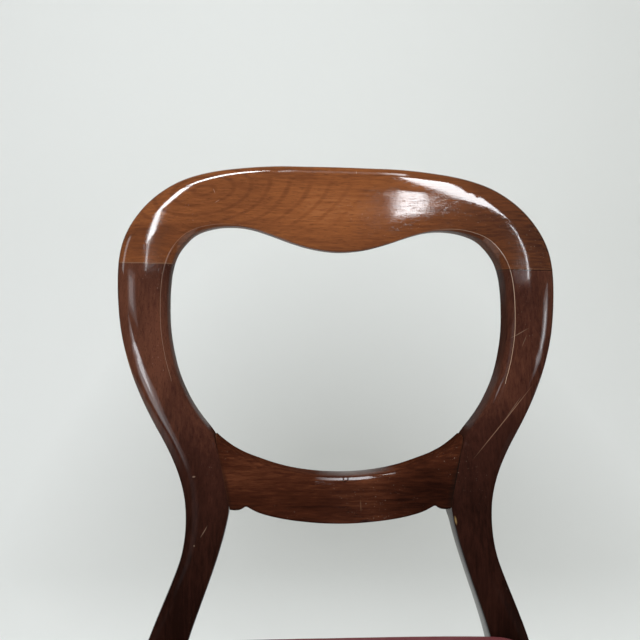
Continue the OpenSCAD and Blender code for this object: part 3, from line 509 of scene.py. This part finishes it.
# Hessian: a coarse jute cloth laid over the webbing, which keeps the stuffing from falling through.
# It is cut to the shape of the frame, a little inside its edge.
def tapered_sheet(name, front, back, height, cuts):
    bpy.ops.object.select_all(action="DESELECT")
    bpy.ops.mesh.primitive_grid_add(x_subdivisions=cuts, y_subdivisions=cuts, size=2, location=(0, 0, 0))
    piece = bpy.context.object
    piece.name = name
    for vertex in piece.data.vertices:
        share = (vertex.co.y + 1) / 2
        vertex.co.x *= front[0] + (back[0] - front[0]) * share
        vertex.co.y = front[1] + (back[1] - front[1]) * share
        vertex.co.z = height
    return piece


base_cloth = tapered_sheet("base_cloth", (0.2031, -0.2327), (0.15, 0.1331), 0.44188, 40)
for vertex in base_cloth.data.vertices:
    x, y = vertex.co.x, vertex.co.y
    vertex.co.z += 0.0002 * math.sin(x * 90) * math.sin(y * 80)
give_wall(base_cloth, 0.0007)
jute = woven("hessian_jute", ((0.2, 0.13, 0.06), (0.36, 0.25, 0.125), (0.47, 0.34, 0.19)), 0.0018, 0.9, 0.0005)
dress(base_cloth, "drop_in_seat", jute, "hessian", "hessian")

# Seat stuffing: a dome of curled hair under felt, built up on the hessian and drawn tight by the cover.
# Its edge is firm and nearly upright, and the middle is crowned.
def within(value):
    return min(1, max(0, value))


def simulated_pad(node, name, voxel, lift, push, slope, firm_edge=0.012, drawn_in=0.004, frames=20):
    pad = merged_copy(node, name)
    remesh = pad.modifiers.new("even_mesh", "REMESH")
    remesh.mode, remesh.voxel_size = "VOXEL", voxel
    apply_modifiers(pad)
    before = [vertex.co.copy() for vertex in pad.data.vertices]
    cloth = pad.modifiers.new("filling", "CLOTH")
    cloth.settings.quality = 6
    cloth.settings.mass = 0.3
    cloth.settings.tension_stiffness = cloth.settings.compression_stiffness = 12
    cloth.settings.bending_stiffness = 0.4
    cloth.settings.use_pressure = True
    cloth.settings.uniform_pressure_force = 4
    cloth.settings.effector_weights.gravity = 0
    cloth.point_cache.frame_end = frames
    for step in range(1, frames + 1):
        bpy.context.scene.frame_set(step)
    apply_modifiers(pad)
    bpy.context.scene.frame_set(1)
    half_front, taper, front_y, middle_y, half_depth = 0.21, 0.145, -0.24, -0.05, 0.19
    low, high = (pick(point.z for point in before) for pick in (min, max))
    for vertex, start in zip(pad.data.vertices, before):
        move = vertex.co - start
        firm = within((start.z - low) / firm_edge)
        risen = (start.z - low) / (high - low)
        aside = start.x / (half_front - taper * (start.y - front_y))
        behind = (start.y - middle_y) / half_depth
        outer = min(1.3, math.hypot(aside ** 2, behind ** 2))
        vertex.co = start + Vector((max(-push, min(push, move.x)) * firm - drawn_in * aside * risen ** 3,
                                    max(-push, min(0, move.y)) * firm - drawn_in * behind * risen ** 3,
                                    max(0, min(lift, move.z)) * firm - slope * outer * risen))
    subdivided(pad, 1)
    bpy.ops.object.shade_smooth()
    return pad


stuffing = simulated_pad("seat_pad", "stuffing", 0.005, 0.006, 0.002, 0.009)
felt = woven("stuffing_felt", ((0.035, 0.026, 0.02), (0.08, 0.062, 0.048), (0.15, 0.125, 0.1)), 0.003, 0.95, 0.001,
             fuzz=0.4)
dress(stuffing, "drop_in_seat", felt, "stuffing", "seat_pad")

# Seat cover: one piece of claret wool rep, drawn over the stuffing and down the sides of the frame.
# It is turned under the frame, tacked there, and folded into a pleat at each corner.
def cut_away(piece, unwanted):
    start_edit(piece, selected=False)
    bpy.ops.mesh.select_mode(type="FACE")
    end_edit()
    for face in piece.data.polygons:
        face.select = unwanted(face)
    bpy.ops.object.mode_set(mode="EDIT")
    bpy.ops.mesh.delete(type="FACE")
    bpy.ops.mesh.select_mode(type="VERT")
    end_edit()


cover = merged_copy("seat_cover", "claret_cover")
seat_middle = Vector((0, -0.05, 0.44))
cut_away(cover, lambda face: face.normal.dot(face.center - seat_middle) < 0)
fold_z = min(vertex.co.z for vertex in cover.data.vertices)
fold = cover.data.attributes.new("crease_edge", "FLOAT", "EDGE")
for edge in cover.data.edges:
    ends = [cover.data.vertices[i].co.z for i in edge.vertices]
    fold.data[edge.index].value = 1 if max(ends) < fold_z + 0.001 else 0
subdivided(cover, 3)
above = cover.vertex_groups.new(name="above_frame")
for vertex in cover.data.vertices:
    above.add([vertex.index], within((vertex.co.z - 0.444) / 0.005), "REPLACE")
follow = cover.modifiers.new("follow_stuffing", "SHRINKWRAP")
follow.target, follow.vertex_group, follow.offset = stuffing, above.name, 0.0013
follow.wrap_mode = "ABOVE_SURFACE"
apply_modifiers(cover)
corners = [(0.2065, -0.2395), (-0.2065, -0.2395), (0.152, 0.139), (-0.152, 0.139)]
pleat_reach, pleat_width, pleat_edge, pleat_depth = 0.03, 0.009, 0.007, 0.0009
pucker_depth, tack_spacing = 0.0004, 0.034
for vertex in cover.data.vertices:
    point = vertex.co
    outward = Vector((point.x, point.y - seat_middle.y, 0)).normalized()
    for x, y in corners:
        diagonal = Vector((x, y - seat_middle.y)).normalized()
        beside = (point.x - x) * diagonal.y - (point.y - y) * diagonal.x
        near = 1 if (point.xy - Vector((x, y))).length < pleat_reach else 0
        flap = within(beside / 0.001) * within((pleat_width - beside) / pleat_edge) * near
        point -= outward * pleat_depth * flap * within((0.466 - point.z) / 0.015)
    on_side = within((0.464 - point.z) / 0.014) * within((point.z - 0.43) / 0.01)
    run = point.x if abs(outward.y) > 0.75 else point.y
    point -= outward * pucker_depth * on_side * (1 - math.cos(run * 2 * math.pi / tack_spacing))
give_wall(cover, 0.001, -1)
rep = woven("claret_rep", ((0.1, 0.017, 0.02), (0.13, 0.023, 0.027), (0.17, 0.036, 0.04)), 0.0009, 0.85, 0.0002,
            fuzz=0.3, gaps=0.3)
dress(cover, "drop_in_seat", rep, "seat_cloth", "seat_cover")

# Dust cloth: black calico tacked under the frame, cut across at the front corners to clear the leg heads.
# Its tacks also hold the turned-under edge of the cover.
calico = tapered_sheet("dust_calico", (0.1976, -0.2298), (0.1448, 0.1302), 0.41575, 44)
for side in (-1, 1):
    start_edit(calico)
    bpy.ops.mesh.bisect(plane_co=(side * 0.183, -0.2148, 0.4157), plane_no=(side, -1, 0), clear_outer=True)
    end_edit()
give_wall(calico, 0.0007)
black_calico = woven("dust_calico_black", ((0.012, 0.011, 0.011), (0.024, 0.022, 0.021), (0.05, 0.046, 0.042)),
                     0.0009, 0.9, 0.0002)
dress(calico, "drop_in_seat", black_calico, "dust_cloth", "bottom_cloth")
refinish("cover_tacks", blued)

# The room: one sheet of pale paper that lies as the floor and curves up behind the chair.
# A painted shadow makes it a little darker low down behind the back, where the chair stands near it.
floor_middle = (0, -7.25, 0)
bpy.ops.object.select_all(action="DESELECT")
bpy.ops.mesh.primitive_plane_add(size=2, location=floor_middle)
floor = bpy.context.object
floor.name = "floor_and_backdrop"
start_edit(floor)
bpy.ops.transform.resize(value=(14, 8.75, 1), center_override=floor_middle)
bpy.ops.mesh.select_all(action="DESELECT")
end_edit()
for edge in floor.data.edges:  # only the far edge of the sheet
    edge.select = all(floor.data.vertices[i].co.y > 8 for i in edge.vertices)
bpy.ops.object.mode_set(mode="EDIT")
bpy.ops.mesh.spin(steps=24, angle=math.radians(-90), center=(0, 1.5, 1.1), axis=(1, 0, 0))
bpy.ops.mesh.extrude_region_move(TRANSFORM_OT_translate={"value": (0, 0, 9)})
bpy.ops.mesh.select_all(action="SELECT")
bpy.ops.mesh.remove_doubles(threshold=0.0001)
bpy.ops.mesh.normals_make_consistent(inside=False)
end_edit()
bpy.ops.object.transform_apply(location=True, rotation=True, scale=True)
bpy.ops.object.shade_smooth()

daylight = (0.93, 0.94, 0.93, 1)
# Far from the chair the paper glows: painted light that fades it into the pale room.
glow_from, glow_to, paper_glow = 2.9, 6.5, 0.3  # the far paper fades into the pale room
paper, place = new_finish("backdrop_paper")
# Painted shadow of the chair: a soft darker patch on the paper behind the back.
behind = put(paper, "Mapping", {"Vector": place, "Location": (0.2, 2, 0), "Scale": (1.1, 1.1, 1.3)},
             vector_type="TEXTURE").outputs[0]
behind = eased(paper, put(paper, "VectorMath", {0: behind}, operation="LENGTH").outputs["Value"], 1, 0.2)
# Painted light falloff: the paper is paler on the left and darker towards the right.
across = eased(paper, put(paper, "SeparateXYZ", {0: place}).outputs["X"], -1.4, 1.6)
tone = colours(paper, across, ((0, (0.755, 0.76, 0.74)), (1, (0.715, 0.72, 0.695))))
tone = over(paper, sums(paper, "MULTIPLY", behind, 0.7), tone, (0.36, 0.36, 0.335, 1))
far_off = put(paper, "VectorMath", {0: place, 1: (0, 1.2, 0)}, operation="DISTANCE").outputs["Value"]
surface(paper, {"Base Color": tone, "Roughness": 0.85, "Emission Color": daylight,
                "Emission Strength": eased(paper, far_off, glow_from, glow_to, 0, paper_glow)})
floor.data.materials.append(paper)

# The unlit room in front of the chair: a dark booth with no back and no floor.
# Only the polish mirrors it, so that the wood keeps its depth between the lamps.
bpy.ops.mesh.primitive_cube_add(size=1, location=(0, -0.4, 2.3))
booth = bpy.context.object
booth.name = "dark_side_of_room"
booth.scale = (7, 6, 4.6)
bpy.ops.object.transform_apply(location=True, rotation=True, scale=True)
cut_away(booth, lambda face: face.normal.y > 0.9 or face.normal.z < -0.9)
booth.visible_camera = booth.visible_diffuse = booth.visible_shadow = booth.visible_transmission = False
dark_cloth, place = new_finish("dark_cloth")
surface(dark_cloth, {"Base Color": (0.02, 0.02, 0.02, 1), "Roughness": 0.9})
booth.data.materials.append(dark_cloth)

# The light: an even pale world, which the camera, the polish and the steel see a little brighter.
# Long soft lamps stand where the windows and tubes of the room mirror in the polish.
world = bpy.data.worlds.new("room")
bpy.context.scene.world = world
world.use_nodes = True
path = put(world, "LightPath", {})
seen = sums(world, "ADD", sums(world, "ADD", path.outputs["Is Camera Ray"], path.outputs["Is Glossy Ray"]),
            path.outputs["Is Transmission Ray"])
feed(world, world.node_tree.nodes["Background"], {"Color": daylight,
                                                  "Strength": eased(world, seen, 0, 1, 0.55, 0.75)})
back_middle = Vector((0, 0.2, 0.75))


def strip_lamp(name, low_end, high_end, width, shine):
    low_end, high_end = Vector(low_end), Vector(high_end)
    along = (high_end - low_end).normalized()
    middle = (low_end + high_end) / 2
    away = middle - back_middle
    facing = (away - along * away.dot(along)).normalized()
    bpy.ops.object.light_add(type="AREA", location=middle,
                             rotation=Matrix((along.cross(facing), along, facing)).transposed().to_euler())
    light = bpy.context.object
    light.name = name
    light.data.shape = "RECTANGLE"
    light.data.size, light.data.size_y = width, (high_end - low_end).length
    light.data.energy = shine * math.pi * light.data.size * light.data.size_y
    light.data.color = (0.92, 0.96, 1)


# Each lamp: name, low end, high end, width, and how bright its face is.
lamps = (("left_pane", (-0.045, -2.47, 2.17), (-0.11, -2.38, 2.33), 0.02, 20),
         ("left_pane_above", (-0.12, -2.38, 2.34), (-0.55, -2.01, 2.76), 0.1, 32),
         ("left_pane_high", (-0.57, -1.98, 2.8), (-0.62, -1.2, 3.38), 0.2, 36),
         ("overhead_left", (-0.6, -1.1, 3.44), (-0.12, -0.34, 3.75), 0.2, 34),
         ("right_pane", (0.395, -2.3, 2.41), (0.405, -2.15, 2.61), 0.045, 32),
         ("right_strip", (0.6, -2.45, 2.1), (0.67, -2.22, 2.42), 0.025, 30),
         ("right_strip_high", (0.62, -2.18, 2.56), (0.6, -1, 3.45), 0.26, 26),
         ("side_window", (2, -1.95, 0.95), (1.93, -1.9, 1.85), 0.8, 1.8),
         ("side_window_middle", (1.99, -1.945, 1.05), (1.94, -1.905, 1.75), 0.5, 2.5),
         ("side_window_core", (1.98, -1.94, 1.2), (1.95, -1.91, 1.65), 0.28, 5),
         ("far_left_window", (-1.02, -2.43, 1.75), (-1, -2.33, 2.12), 0.9, 1),
         ("far_left_window_core", (-1.015, -2.41, 1.82), (-1.005, -2.35, 2.05), 0.5, 2.2),
         ("far_left_window_low", (-1.6, -2.3, 0.5), (-1.15, -2.5, 1.48), 1.05, 1.5),
         ("far_left_window_low_middle", (-1.55, -2.32, 0.6), (-1.17, -2.49, 1.44), 0.7, 2.2),
         ("far_left_window_low_core", (-1.37, -2.4, 1), (-1.19, -2.48, 1.4), 0.42, 9),
         ("left_wall_lamp", (-2.15, -1.45, 1.85), (-2, -1.3, 2.7), 0.5, 4),
         ("overhead_right", (0.28, -0.72, 3.6), (0.33, -0.28, 3.75), 0.5, 11))
for lamp in lamps:
    strip_lamp(*lamp)

# The camera: held close in front of the back, a little to the left, tilted slightly down and to one side.
# Its place and its lens were worked out from the outline of the back in the photograph.
bpy.ops.object.camera_add(location=(-0.0644, -0.4480, 0.7435))
camera = bpy.context.object
bpy.context.scene.camera = camera
camera.data.sensor_width = 36
picture_width, focal_pixels = 640, 700
camera.data.lens = camera.data.sensor_width * focal_pixels / picture_width
camera.data.clip_start = 0.02
yaw, pitch, roll = (math.radians(a) for a in (4.055, -1.102, 0.845))
ahead = Vector((math.sin(yaw) * math.cos(pitch), math.cos(yaw) * math.cos(pitch), math.sin(pitch)))
right = Vector((math.cos(yaw), -math.sin(yaw), 0))
above = right.cross(ahead)
x_axis = right * math.cos(roll) + above * math.sin(roll)
y_axis = above * math.cos(roll) - right * math.sin(roll)
camera.rotation_euler = Matrix((x_axis, y_axis, -ahead)).transposed().to_euler()

bpy.context.scene.view_settings.view_transform = "Standard"
